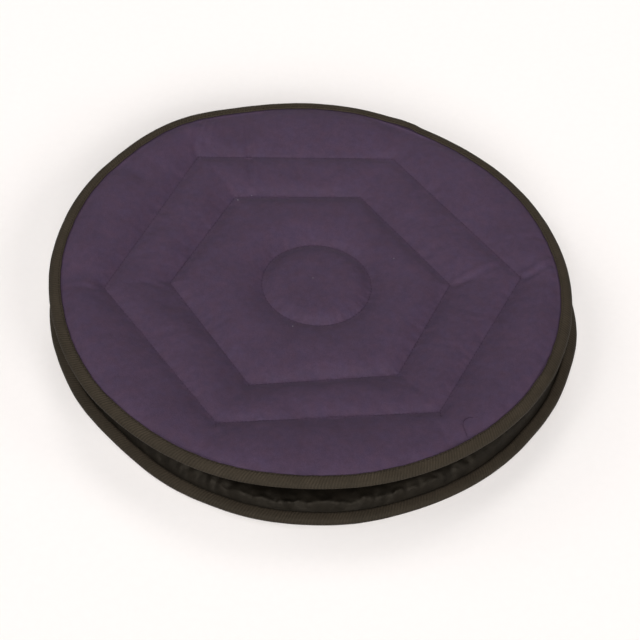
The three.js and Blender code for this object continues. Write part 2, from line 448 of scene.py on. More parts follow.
def line_point(line, turned):
    """The point of a sewn line, or of the cover's edge, at an angle from the first spoke."""
    if line == "centre":
        return CIRCLE_CENTRE.copy()
    if line == "circle":
        return CIRCLE_CENTRE + polar(FIRST_SPOKE_DEG + turned, CIRCLE_RADIUS)
    if line == "inner":
        return hexagon_point(INNER_CORNERS, turned)
    if line == "outer":
        return hexagon_point(OUTER_CORNERS, turned)
    return inside_edge(UPPER_RADII, turned, COVER_EDGE_INWARD)


def band(start, end, count):
    """Stations between two lines, closer together beside each line."""
    rows = []
    for index in range(1, count + 1):
        share = 0.5 - 0.5 * math.cos(math.pi * index / count)
        rows.append({"from": start, "to": end, "share": share})
    return rows


def middle_band(count):
    """Stations of the round middle, closer together beside the sewn circle."""
    rows = []
    for index in range(1, count + 1):
        rows.append({"from": "centre", "to": "circle", "share": math.sin(math.pi / 2 * index / count)})
    return rows


COVER_STATIONS = [
    *middle_band(CIRCLE_RINGS),
    *band("circle", "inner", 16),
    *band("inner", "outer", 14),
    *band("outer", "rim", 10),
]


def curl(turned, inward):
    """How far the curl of the rim lifts a point of the upper pad."""
    lift = around(UPPER_NOSES, turned) - (RIM_HEIGHT - NOSE_BELOW_RIM)
    return lift * (1 - smooth_step(inward, UPPER_TAPE_WIDTH, CURL_START_INWARD))


def cover_point(station, turned, sewing):
    start = line_point(station["from"], turned)
    end = line_point(station["to"], turned)
    share = station["share"]
    point = start.lerp(end, share)
    to_start = math.inf if station["from"] == "centre" else (point - start).length
    distance = min(to_start, (point - end).length)
    swell = LINE_SWELL[station["from"]] * (1 - share) + LINE_SWELL[station["to"]] * share
    rise = swell * sewing.swell / MM * (1 - math.exp(-((distance * MM / sewing.swell_reach) ** SHOULDER)))
    rise += sewing.crown / MM * (1 - math.exp(-distance * MM / sewing.crown_reach))
    dish = LINE_HEIGHT[station["from"]] * (1 - share) + LINE_HEIGHT[station["to"]] * share
    sewn = share == 1 and station["to"] != "rim"
    bite = sewing.seam_bite / MM if sewn else 0.0
    inward = around(UPPER_RADII, turned) - point.length
    return Vector((point.x, point.y, RIM_HEIGHT + dish + rise - bite + curl(turned, inward)))


def upper_edge_point(station, turned):
    point = inside_edge(UPPER_RADII, turned, station["inward"])
    height = RIM_HEIGHT + station["height"] + curl(turned, UPPER_TAPE_WIDTH)
    return Vector((point.x, point.y, height))


def upper_pad_point(station, turned, sewing):
    if "from" in station:
        return cover_point(station, turned, sewing)
    if "inward" in station:
        return upper_edge_point(station, turned)
    point = polar(FIRST_SPOKE_DEG + turned, station["radius"])
    inward = around(UPPER_RADII, turned) - station["radius"]
    return Vector((point.x, point.y, station["height"] + curl(turned, inward)))


def base_edge_point(station, turned):
    point = inside_edge(BASE_RADII, turned, station["inward"])
    pucker = station.get("puckered", 0.0) * (around(BASE_ROLLS, turned) - ROLL_TOP)
    return Vector((point.x, point.y, station["height"] + pucker))


def base_pad_point(station, turned):
    if "inward" in station:
        return base_edge_point(station, turned)
    point = polar(FIRST_SPOKE_DEG + turned, station["radius"])
    return Vector((point.x, point.y, station["height"]))


# Mesh tools


def turned_mesh(stations, steps, place, ring=False):
    """Spins a section of stations full circle, and puts each point where place(station, turned) says."""
    shape = bmesh.new()
    station_of = shape.verts.layers.int.new("station")
    section = [shape.verts.new((1, 0, index)) for index in range(len(stations))]
    for index, vertex in enumerate(section):
        vertex[station_of] = index
    edges = [shape.edges.new(pair) for pair in zip(section, section[1:])]
    if ring:
        edges.append(shape.edges.new((section[-1], section[0])))
    bmesh.ops.spin(
        shape,
        geom=section + edges,
        cent=(0, 0, 0),
        axis=(0, 0, 1),
        dvec=(0, 0, 0),
        angle=math.tau,
        steps=steps,
        use_merge=True,
        use_duplicate=False,
    )
    step = 360 / steps
    for vertex in shape.verts:
        spoke = round(math.degrees(math.atan2(vertex.co.y, vertex.co.x)) / step) % steps
        vertex.co = place(stations[vertex[station_of]], spoke * step) * MM
    put_in_order(shape)
    fill_ends(shape)
    bmesh.ops.recalc_face_normals(shape, faces=shape.faces)
    return shape


def put_in_order(shape):
    """Sorts edges and faces by their points. The spin makes them in a different order on each run, and the
    cloth simulation's result follows their order."""
    shape.verts.index_update()
    count = len(shape.verts)

    def rank(item):
        numbers = [vertex.index for vertex in item.verts]
        return min(numbers) * count + max(numbers)

    shape.edges.sort(key=rank)
    shape.faces.sort(key=rank)


def fill_ends(shape):
    """Closes each open end with one face. A shape that is closed already stays as it is."""
    open_edges = [edge for edge in shape.edges if edge.is_boundary]
    return bmesh.ops.holes_fill(shape, edges=open_edges)["faces"] if open_edges else []


def as_object(shape, name, centre_x=0.0):
    """Writes a bmesh to a new object whose place is in its mesh."""
    bmesh.ops.translate(shape, verts=shape.verts, vec=(centre_x * MM, 0, 0))
    mesh = bpy.data.meshes.new(name)
    shape.to_mesh(mesh)
    shape.free()
    # Each edge runs from its lower point to its higher one, so it points the same way on each run
    ends = np.zeros(2 * len(mesh.edges), dtype=np.int32)
    mesh.edges.foreach_get("vertices", ends)
    mesh.edges.foreach_set("vertices", np.sort(ends.reshape(-1, 2)).ravel())
    piece = bpy.data.objects.new(name, mesh)
    bpy.context.scene.collection.objects.link(piece)
    return piece


def points_of(mesh):
    places = np.zeros(len(mesh.vertices) * 3)
    mesh.vertices.foreach_get("co", places)
    return places.reshape(-1, 3)


def move_points(mesh, places):
    mesh.vertices.foreach_set("co", places.ravel())
    mesh.update()


def bake_modifiers(piece):
    """Keeps the mesh that a piece's modifiers make, and removes them."""
    graph = bpy.context.evaluated_depsgraph_get()
    mesh = bpy.data.meshes.new_from_object(piece.evaluated_get(graph))
    piece.modifiers.clear()
    piece.data = mesh


def inflate(piece, held, freedom, sewing):
    """Swells a pad with Blender's cloth. held marks the points that sewing or weight holds down, and
    freedom is the share of its movement that each point keeps, less beside a seam."""
    before = points_of(piece.data)
    group = piece.vertex_groups.new(name="held")
    group.add([int(index) for index in np.flatnonzero(held)], 1.0, "REPLACE")
    cloth = piece.modifiers.new("padding", "CLOTH")
    settings = cloth.settings
    settings.vertex_group_mass = group.name
    settings.quality = 4
    settings.mass = 0.3
    settings.tension_stiffness = 14
    settings.compression_stiffness = 14
    settings.shear_stiffness = 6
    settings.bending_stiffness = 0.8
    settings.use_pressure = True
    settings.uniform_pressure_force = sewing.pressure
    settings.shrink_min = -sewing.spare_cloth
    settings.effector_weights.gravity = 0
    cloth.collision_settings.use_collision = False
    cloth.collision_settings.use_self_collision = False
    cloth.point_cache.frame_end = sewing.settle_frames
    scene = bpy.context.scene
    for number in range(1, sewing.settle_frames + 1):
        scene.frame_set(number)
    bake_modifiers(piece)
    scene.frame_set(1)
    moved = points_of(piece.data) - before
    length = np.linalg.norm(moved, axis=1, keepdims=True)
    moved *= np.minimum(1, sewing.puff / np.maximum(length, 1e-9))
    move_points(piece.data, before + moved * freedom[:, None])


def subdivide(piece):
    """Rounds a mesh once. The small faces at the middle are left out of it and closed again as fans."""
    shape = bmesh.new()
    shape.from_mesh(piece.data)
    ends = [face for face in shape.faces if len(face.verts) > 4]
    bmesh.ops.delete(shape, geom=ends, context="FACES_ONLY")
    shape.to_mesh(piece.data)
    shape.free()
    modifier = piece.modifiers.new("rounding", "SUBSURF")
    modifier.levels = 1
    modifier.render_levels = 1
    bake_modifiers(piece)
    shape = bmesh.new()
    shape.from_mesh(piece.data)
    ends = fill_ends(shape)
    bmesh.ops.poke(shape, faces=ends)
    bmesh.ops.recalc_face_normals(shape, faces=shape.faces)
    shape.to_mesh(piece.data)
    shape.free()


def shade_smooth(piece):
    piece.data.polygons.foreach_set("use_smooth", [True] * len(piece.data.polygons))


def store_attribute(mesh, name, values):
    layer = mesh.attributes.new(name, "FLOAT", "POINT")
    layer.data.foreach_set("value", values)


# Sewing


def walk(route, pitch, closed=True):
    """Even steps along a route: an array of each stitch's start and one of its end."""
    points = np.array([*route, route[0]] if closed else route)
    travelled = np.concatenate(([0], np.cumsum(np.linalg.norm(np.diff(points, axis=0), axis=1))))
    count = max(1, round(travelled[-1] / pitch))
    step = travelled[-1] / count
    starts = np.arange(count) * step + 0.12 * step
    ends = starts + 0.76 * step

    def at(marks):
        return np.stack([np.interp(marks, travelled, points[:, axis]) for axis in (0, 1)], axis=1)

    return at(starts), at(ends)


def surface_of(piece):
    return BVHTree.FromObject(piece, bpy.context.evaluated_depsgraph_get())


def seat(surface, x, y, above):
    """The point of a surface over a place in millimetres, raised by above."""
    hit = surface.ray_cast(Vector((x * MM, y * MM, 0.2)), Vector((0, 0, -1)))[0]
    if hit is None:
        raise RuntimeError(f"no cloth under the stitch at {x:.1f}, {y:.1f}")
    return hit + Vector((0, 0, above * MM))


def plump_stitch():
    """A stitch with a radius of one, to copy. Copies are faster than an operator call for each stitch."""
    shape = bmesh.new()
    bmesh.ops.create_uvsphere(shape, u_segments=6, v_segments=4, radius=1)
    mesh = bpy.data.meshes.new("stitch")
    shape.to_mesh(mesh)
    shape.free()
    return mesh


def add_stitch(shape, stitch, start, end, width):
    """Copies a stitch to lie from start to end."""
    run = end - start
    turn = run.to_track_quat("Z", "Y").to_matrix().to_4x4()
    size = Matrix.Diagonal((width / 2, width / 2, run.length / 2, 1))
    placed = stitch.copy()
    placed.transform(Matrix.Translation((start + end) / 2) @ turn @ size)
    shape.from_mesh(placed)
    bpy.data.meshes.remove(placed)


def sew(shape, surface, route, centre_x, pitch, width, closed=True):
    """Stitches along a route that is measured in millimetres round centre_x, seated on a surface."""
    above = 0.25 * width / MM
    stitch = plump_stitch()
    for start, end in zip(*walk(route, pitch / MM, closed)):
        first = seat(surface, start[0] + centre_x, start[1], above)
        last = seat(surface, end[0] + centre_x, end[1], above)
        add_stitch(shape, stitch, first, last, width)
    bpy.data.meshes.remove(stitch)


def add_thread(shape, points, width):
    """A thread swept through points, closed at both ends."""
    frames = []
    for index, point in enumerate(points):
        run = points[min(index + 1, len(points) - 1)] - points[max(index - 1, 0)]
        frames.append(Matrix.Translation(point) @ run.to_track_quat("Z", "Y").to_matrix().to_4x4())
    ring = bmesh.ops.create_circle(shape, segments=6, radius=width / 2, matrix=frames[0])["verts"]
    edges = list({edge for vertex in ring for edge in vertex.link_edges})
    for before, after in zip(frames, frames[1:]):
        made = bmesh.ops.extrude_edge_only(shape, edges=edges)["geom"]
        verts = [item for item in made if isinstance(item, bmesh.types.BMVert)]
        edges = [item for item in made if isinstance(item, bmesh.types.BMEdge)]
        edges = [edge for edge in edges if set(verts).issuperset(edge.verts)]
        bmesh.ops.transform(shape, matrix=after @ before.inverted(), verts=verts)
    fill_ends(shape)
    bmesh.ops.recalc_face_normals(shape, faces=shape.faces)


# Small folds of the cloth


def nearest_line(flat):
    """For points round the turning axis: distance to the nearest sewn line, and place along it."""
    best = np.full(len(flat), np.inf)
    along = np.zeros(len(flat))
    for number, corners in enumerate((OUTER_CORNERS, INNER_CORNERS)):
        for side in range(6):
            start = np.array(corners[side])
            edge = np.array(corners[(side + 1) % 6]) - start
            share = np.clip((flat - start) @ edge / (edge @ edge), 0, 1)
            distance = np.linalg.norm(flat - start - share[:, None] * edge, axis=1)
            closer = distance < best
            best[closer] = distance[closer]
            along[closer] = share[closer] * np.linalg.norm(edge) + 1000 * (number * 6 + side)
    offset = flat - np.array(CIRCLE_CENTRE)
    distance = np.abs(np.linalg.norm(offset, axis=1) - CIRCLE_RADIUS)
    closer = distance < best
    best[closer] = distance[closer]
    along[closer] = np.arctan2(offset[closer, 1], offset[closer, 0]) * CIRCLE_RADIUS - 1000
    return best, along


def seen_from_above(piece, radii, centre_x):
    """A piece's points round centre_x, in millimetres: their flat places, their angles from the first spoke
    and their distances in from the pad's edge."""
    flat = points_of(piece.data)[:, :2] / MM - np.array((centre_x, 0))
    turned = np.degrees(np.arctan2(flat[:, 1], flat[:, 0])) - FIRST_SPOKE_DEG
    edge = np.array([around(radii, angle) for angle in turned])
    return flat, turned, edge - np.linalg.norm(flat, axis=1)


def wander(places, seed):
    """Smooth noise from -1 to 1 at each pair of numbers."""
    return np.array([noise.noise(Vector((u, v, seed))) for u, v in places])


def puckers(along, aside, rows):
    """Small ridges that cross a seam and fade out beside it."""
    height = np.zeros(len(along))
    for row in rows:
        ridges = wander(zip(along / row["pitch"], aside / (4 * row["pitch"])), row["seed"])
        height += row["depth"] * ridges * np.exp(-aside / row["fade"])
    return height


def waves(flat, rows):
    """Broad unevenness of the padding."""
    return sum(row["height"] * wander(flat / row["size"], row["seed"]) for row in rows)


def satin_crest(along, inward):
    """The uneven ridge of the base's satin just inside its binding."""
    still = np.zeros(len(along))
    sway = wander(zip(along / SATIN_CREST["sway_pitch"], still), 3)
    jag = wander(zip(along / SATIN_CREST["jag_pitch"], still), 8)
    aside = (inward - SATIN_CREST["inward"] - SATIN_CREST["sway"] * sway) / SATIN_CREST["reach"]
    return (SATIN_CREST["lift"] + SATIN_CREST["jag"] * jag) * np.exp(-(aside**2))


def crease_relief(flat):
    """Height of the cover's creases: a ridge with a trough beside it, both fading at their ends."""
    height = np.zeros(len(flat))
    for first, last, lift, depth, width, side in CREASES:
        start = np.array(polar(*first))
        edge = np.array(polar(*last)) - start
        length = np.linalg.norm(edge)
        direction = edge / length
        across = np.array((-direction[1], direction[0])) * side
        run = (flat - start) @ direction / length
        aside = (flat - start) @ across / width
        ends = np.clip(np.minimum(run, 1.15 - run) * 5 + 0.6, 0, 1)
        height += ends * (lift * np.exp(-(aside**2)) - depth * np.exp(-((aside - 1.5) ** 2)))
    return height


# Materials


def new_material(name):
    """A material with only a Principled shader, its tree and that shader."""
    material = bpy.data.materials.new(name)
    material.use_nodes = True
    tree = material.node_tree
    shader = next(node for node in tree.nodes if node.type == "BSDF_PRINCIPLED")
    return material, tree, shader


def set_inputs(node, **values):
    """Sets a node's inputs. A name has underscores for its spaces."""
    for name, value in values.items():
        node.inputs[name.replace("_", " ")].default_value = value
    return node


def object_noise(tree, size, detail=2.0, roughness=0.5, stretch=(1, 1, 1)):
    """Noise on Object coordinates with spots about size millimetres across."""
    where = tree.nodes.new("ShaderNodeTexCoord")
    place = set_inputs(tree.nodes.new("ShaderNodeMapping"), Scale=stretch)
    spots = tree.nodes.new("ShaderNodeTexNoise")
    set_inputs(spots, Scale=1 / (size * MM), Detail=detail, Roughness=roughness)
    tree.links.new(where.outputs["Object"], place.inputs["Vector"])
    tree.links.new(place.outputs["Vector"], spots.inputs["Vector"])
    return spots.outputs["Fac"]


def value_range(tree, source, low, high, to_low, to_high):
    node = tree.nodes.new("ShaderNodeMapRange")
    set_inputs(node, From_Min=low, From_Max=high, To_Min=to_low, To_Max=to_high)
    tree.links.new(source, node.inputs["Value"])
    return node.outputs["Result"]


def attribute(tree, name):
    """The value that a piece's mesh stores under a name."""
    node = tree.nodes.new("ShaderNodeAttribute")
    node.attribute_name = name
    return node.outputs["Fac"]


def arithmetic(tree, operation, first, second):
    """A Math node. Each side is a number or a socket."""
    node = tree.nodes.new("ShaderNodeMath")
    node.operation = operation
    for socket, side in zip(node.inputs, (first, second)):
        if isinstance(side, (int, float)):
            socket.default_value = side
        else:
            tree.links.new(side, socket)
    return node.outputs["Value"]


def product(tree, first, *others):
    for other in others:
        first = arithmetic(tree, "MULTIPLY", first, other)
    return first


def patches(tree, size, spread, detail=2.0, roughness=0.5, window=0.2):
    """Brightness that wanders round 1 by spread, in patches about size millimetres across. window is how
    far from its middle the noise is read."""
    spots = object_noise(tree, size, detail, roughness)
    return value_range(tree, spots, 0.5 - window, 0.5 + window, 1 - spread, 1 + spread)


def tint(tree, shader, colour, brightness, other=None, blend=None):
    """Multiplies a colour by a brightness socket, into the shader's base colour.
    blend is a socket that goes over to the other colour."""
    scale = tree.nodes.new("ShaderNodeVectorMath")
    scale.operation = "SCALE"
    if blend is None:
        scale.inputs[0].default_value = tuple(colour)
    else:
        # Sockets of a Mix node share names: the factor is input 0, and the vectors are 4, 5 and output 1
        mix = tree.nodes.new("ShaderNodeMix")
        mix.data_type = "VECTOR"
        tree.links.new(blend, mix.inputs[0])
        mix.inputs[4].default_value = tuple(colour)
        mix.inputs[5].default_value = tuple(other)
        tree.links.new(mix.outputs[1], scale.inputs[0])
    tree.links.new(brightness, scale.inputs["Scale"])
    tree.links.new(scale.outputs["Vector"], shader.inputs["Base Color"])


def bump(tree, shader, height, depth, strength=1.0):
    """Drives the shader's normal from a height from 0 to 1 that stands for depth millimetres."""
    node = set_inputs(tree.nodes.new("ShaderNodeBump"), Strength=strength, Distance=depth * MM)
    tree.links.new(height, node.inputs["Height"])
    tree.links.new(node.outputs["Normal"], shader.inputs["Normal"])


def brushed_cloth(colour):
    """Matt brushed cloth: short nap, faint mottling, and painted shade in the sewn lines."""
    material, tree, shader = new_material("purple_brushed_cloth")
    broad = patches(tree, size=34, spread=0.07, detail=3)
    spotty = patches(tree, size=4.5, spread=0.1, detail=4, roughness=0.65)
    grain = patches(tree, size=0.9, spread=0.12, window=0.25)
    # Painted shade in the sewn lines' valleys: the cloth is darker on and just beside each line
    painted_seam_shade = value_range(tree, attribute(tree, "seam"), 0, 1, 1.0, 0.92)
    hue = value_range(tree, object_noise(tree, 8, 3), 0.3, 0.7, 0, 1)
    warm = [value * share for value, share in zip(colour, (1.05, 1.0, 0.96))]
    cool = [value * share for value, share in zip(colour, (0.95, 1.0, 1.04))]
    tint(tree, shader, warm, product(tree, broad, spotty, grain, painted_seam_shade), cool, hue)
    nap = object_noise(tree, 0.8, 3, 0.7)
    tufts = object_noise(tree, 3.2, 3, 0.6)
    bump(tree, shader, arithmetic(tree, "ADD", nap, tufts), depth=0.22, strength=0.6)
    set_inputs(shader, Roughness=0.68, Specular_IOR_Level=0.26, Specular_Tint=(0.97, 0.88, 1.0, 1))
    set_inputs(shader, Sheen_Weight=0.06, Sheen_Roughness=0.5, Sheen_Tint=(0.75, 0.66, 0.80, 1))
    return material


def satin_cloth(colour):
    """Dark nylon satin: a soft sheen, fine weave and small creases."""
    material, tree, shader = new_material("dark_satin_nylon")
    # Broad lighter and darker patches: partly the satin's uneven tone, partly painted sheen where its folds
    # catch light
    broad = patches(tree, size=16, spread=0.4, detail=4, roughness=0.6)
    grain = patches(tree, size=0.7, spread=0.1, window=0.25)
    tint(tree, shader, colour, product(tree, broad, grain))
    creases = object_noise(tree, 5.0, 4, 0.7)
    weave = object_noise(tree, 0.6, 1)
    height = arithmetic(tree, "ADD", creases, arithmetic(tree, "MULTIPLY", weave, 0.12))
    bump(tree, shader, height, depth=0.7, strength=0.7)
    shine = value_range(tree, object_noise(tree, 9, 3), 0.3, 0.7, 0.5, 0.62)
    tree.links.new(shine, shader.inputs["Roughness"])
    set_inputs(shader, Specular_IOR_Level=0.18, Specular_Tint=(1.0, 0.88, 0.72, 1))
    set_inputs(shader, Sheen_Weight=0.04, Sheen_Roughness=0.35, Sheen_Tint=(0.8, 0.76, 0.66, 1))
    return material


def ribbed_tape(name, colour, centre_x, radius):
    """Bias tape: uneven slanting ribs, counted round the pad's middle, and painted shade that darkens its
    outer fold.
    """
    material, tree, shader = new_material(name)
    where = tree.nodes.new("ShaderNodeTexCoord")
    place = set_inputs(tree.nodes.new("ShaderNodeMapping"), Location=(-centre_x * MM, 0, 0))
    split = tree.nodes.new("ShaderNodeSeparateXYZ")
    tree.links.new(where.outputs["Object"], place.inputs["Vector"])
    tree.links.new(place.outputs["Vector"], split.inputs["Vector"])
    angle = arithmetic(tree, "ARCTAN2", split.outputs["Y"], split.outputs["X"])
    distance = tree.nodes.new("ShaderNodeVectorMath")
    distance.operation = "LENGTH"
    tree.links.new(place.outputs["Vector"], distance.inputs[0])
    turn = arithmetic(tree, "MULTIPLY", angle, round(math.tau * radius / RIB_PITCH))
    slant = arithmetic(tree, "MULTIPLY", distance.outputs["Value"], 0.5 * math.tau / (RIB_PITCH * MM))
    uneven = arithmetic(tree, "MULTIPLY", object_noise(tree, 7, 3), 5.0)
    phase = arithmetic(tree, "ADD", arithmetic(tree, "ADD", turn, slant), uneven)
    node = tree.nodes.new("ShaderNodeMath")
    node.operation = "SINE"
    tree.links.new(phase, node.inputs[0])
    ribs = value_range(tree, node.outputs["Value"], -1, 1, 0, 1)
    # The ribs' contrast comes and goes along the tape
    contrast = value_range(tree, object_noise(tree, 12), 0.35, 0.65, 0.15, 1)
    light = product(tree, value_range(tree, ribs, 0, 1, -0.3, 0.3), contrast)
    light = arithmetic(tree, "ADD", light, 1.0)
    broad = patches(tree, size=22, spread=0.15, detail=4, roughness=0.6)
    wear = value_range(tree, object_noise(tree, 2.4, 3, 0.6), 0.3, 0.75, 0.9, 1.16)
    # Painted shade: the tape darkens towards its outer fold, which faces away from the light, and is a
    # little lighter further in
    painted_fold_shade = value_range(tree, attribute(tree, "fold"), 0, 1, 1.08, 0.66)
    tint(tree, shader, colour, product(tree, light, broad, wear, painted_fold_shade))
    height = arithmetic(tree, "ADD", ribs, object_noise(tree, 1.4, 3, 0.6))
    bump(tree, shader, height, depth=0.22, strength=0.8)
    set_inputs(shader, Roughness=0.7, Specular_IOR_Level=0.22, Specular_Tint=(1.0, 0.93, 0.75, 1))
    return material


def thread_material(name, colour, brightness=1.0):
    """Spun thread: fine slanting strands."""
    material, tree, shader = new_material(name)
    strands = object_noise(tree, 0.35, 2, 0.6, stretch=(1, 1, 2.5))
    colour = [brightness * value for value in colour]
    tint(tree, shader, colour, value_range(tree, strands, 0.3, 0.7, 0.8, 1.2))
    bump(tree, shader, strands, depth=0.1, strength=0.7)
    set_inputs(shader, Roughness=0.85, Specular_IOR_Level=0.15)
    return material


def floor_material(colour):
    """Pale paper floor with a very faint grain."""
    material, tree, shader = new_material("studio_floor")
    tint(tree, shader, colour, patches(tree, size=6, spread=0.005))
    set_inputs(shader, Roughness=1.0, Specular_IOR_Level=0.0)
    return material


def shared_satin():
    """The dark satin, made once for both pads."""
    found = bpy.data.materials.get("dark_satin_nylon")
    return found or satin_cloth(bpy.context.scene.cushion_colours.satin)


# Pieces


def pad_stations(first_height, rows, last):
    return [{"radius": 1.0, "height": first_height}, *rows, last]


class CUSHION_OT_quilted_pad(Operator):
    """Makes the upper pad: a dished, quilted cover, a dark underside and the edge inside the binding"""

    bl_idname = "cushion.quilted_pad"
    bl_label = "Quilted Pad"

    def execute(self, context):
        sewing = context.scene.cushion_sewing
        cover = list(reversed(COVER_STATIONS))
        middle = {"from": "centre", "to": "circle", "share": 0.02}
        stations = pad_stations(BASE_TOP + CLEARANCE, [*UNDERSIDE, *UPPER_FLANGE, *cover], middle)
        first_cover = len(stations) - len(cover) - 1
        shape = turned_mesh(
            stations,
            PAD_STEPS,
            lambda station, turned: upper_pad_point(station, turned, sewing),
        )
        station_of = shape.verts.layers.int["station"]
        sharp = shape.edges.layers.float.new("crease_edge")
        sewn = {
            index
            for index, station in enumerate(stations)
            if station.get("share") == 1 and station["to"] != "rim"
        }
        for face in shape.faces:
            under = max(vertex[station_of] for vertex in face.verts) <= len(UNDERSIDE) + 3
            face.material_index = 1 if under else 0
        for edge in shape.edges:
            ends = {vertex[station_of] for vertex in edge.verts}
            if len(ends) == 1 and ends <= sewn:
                edge[sharp] = 0.9
        held = np.array(
            [
                vertex[station_of] in sewn
                or vertex[station_of] <= first_cover
                or vertex[station_of] >= len(stations) - 1 - CIRCLE_RINGS
                for vertex in shape.verts
            ]
        )
        piece = as_object(shape, "quilted_pad", TURN_AXIS_X)
        distance = nearest_line(seen_from_above(piece, UPPER_RADII, TURN_AXIS_X)[0])[0]
        inflate(piece, held, 1 - np.exp(-((distance * MM / sewing.swell_reach) ** SHOULDER)), sewing)
        subdivide(piece)
        self.fold_cloth(piece, sewing)
        piece.data.materials.append(brushed_cloth(context.scene.cushion_colours.purple))
        piece.data.materials.append(shared_satin())
        shade_smooth(piece)
        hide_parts("top_pad")
        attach(piece, "top")
        return {"FINISHED"}

    def fold_cloth(self, piece, sewing):
        """Adds the puckers, creases and broad unevenness to the subdivided cover."""
        places = points_of(piece.data)
        flat, turned, inward = seen_from_above(piece, UPPER_RADII, TURN_AXIS_X)
        on_top = (places[:, 2] > (RIM_HEIGHT - COVER_DEPTH) * MM) & (inward > UPPER_TAPE_WIDTH + 0.2)
        distance, along = nearest_line(flat)
        rim_distance = np.maximum(inward - COVER_EDGE_INWARD, 0)
        relief = puckers(along, distance, SEAM_PUCKERS)
        relief += puckers(np.radians(turned) * RIM_RADIUS, rim_distance, RIM_PUCKERS)
        relief *= sewing.pucker / MM
        relief += waves(flat, COVER_WAVES) + crease_relief(flat)
        calm = np.minimum(1, rim_distance / RIM_CALM) * np.minimum(1, distance / SEAM_CALM)
        places[:, 2] += np.where(on_top, relief * calm * MM, 0)
        move_points(piece.data, places)
        # Painted shade of the sewn lines' valleys, strongest on a line and gone within about two
        # millimetres
        seam = np.where(on_top, np.exp(-((distance / SEAM_SHADE_WIDTH) ** 2)), 0)
        store_attribute(piece.data, "seam", seam)


class CUSHION_OT_base_pad(Operator):
    """Makes the base pad: flat beneath, with a puckered satin roll beside its binding"""

    bl_idname = "cushion.base_pad"
    bl_label = "Base Pad"

    def execute(self, context):
        # The top falls a little from its flat middle towards the roll
        drop = [(radius, 0.35 * smooth_step(radius, 130, 148)) for radius in (145, 136, 110, 60, 25)]
        top = round_section(*((radius, BASE_TOP - fall) for radius, fall in drop))
        rows = [*round_section((90, 0), (170, 0)), *BASE_EDGE, *BASE_ROLL, *top]
        stations = pad_stations(0.0, rows, {"radius": 1.0, "height": BASE_TOP})
        piece = as_object(turned_mesh(stations, BASE_STEPS, base_pad_point), "base_pad_cover")
        subdivide(piece)
        self.fold_cloth(piece)
        piece.data.materials.append(shared_satin())
        shade_smooth(piece)
        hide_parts("base_pad")
        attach(piece, "base")
        return {"FINISHED"}

    def fold_cloth(self, piece):
        """Adds the satin's radial puckers beside the binding and its long folds."""
        places = points_of(piece.data)
        flat, turned, inward = seen_from_above(piece, BASE_RADII, 0.0)
        on_roll = (places[:, 2] > ROLL_START_HEIGHT * MM) & (inward > ROLL_START_INWARD)
        distance = np.maximum(inward - BASE_SEAM_INWARD, 0)
        along = np.radians(turned) * BASE_RIM_RADIUS
        relief = puckers(along, distance, SATIN_PUCKERS) + waves(flat, SATIN_WAVES)
        relief += satin_crest(along, inward)
        azimuth = (turned + FIRST_SPOKE_DEG) % 360
        for middle, half_width, crest, reach, lift in SATIN_TUCKS:
            aside = np.abs(azimuth - middle) / half_width
            relief += lift * np.exp(-(aside**6)) * np.exp(-(((inward - crest) / reach) ** 2))
        calm = np.minimum(1, distance / BASE_SEAM_CALM)
        calm *= np.clip((RUFFLES_END_INWARD - inward) / RUFFLES_FADE, 0, 1)
        places[:, 2] += np.where(on_roll, relief * calm * MM, 0)
        move_points(piece.data, places)


def lap_height(azimuth, laps):
    """How much thicker a tape is where its ends lap or where it is tucked."""
    height = 0.0
    for lap in laps:
        past = (azimuth - lap) % 360
        height += smooth_step(past, 0, 0.4) * (1 - smooth_step(past, LAP_LENGTH_DEG, 2 * LAP_LENGTH_DEG))
    return LAP_STEP * height


# The bias tapes. stitched is how far in from the outer edge the stitching runs, laps are the angles where a
# tape is lapped or tucked, tone is its painted brightness, lighter for the lit upper tape and darker for
# the base tape in the upper pad's shade, and cut is its flat size in metres.
TAPES = {
    "upper": {
        "stations": UPPER_TAPE, "place": upper_edge_point, "radii": UPPER_RADII, "centre_x": TURN_AXIS_X,
        "node": "top_binding", "body": "top", "pad": "quilted_pad", "stitched": UPPER_TAPE_WIDTH - 1.6,
        "laps": (66.7, 333.8), "painted_light_scale": 1.12, "cut": (0.0215, 1.245),
    },
    "base": {
        "stations": BASE_TAPE, "place": base_edge_point, "radii": BASE_RADII, "centre_x": 0.0,
        "node": "base_binding", "body": "base", "pad": "base_pad_cover", "stitched": BASE_TAPE_WIDTH - 1.4,
        "laps": (236.4,), "painted_light_scale": 0.98, "cut": (0.0205, 1.265),
    },
}


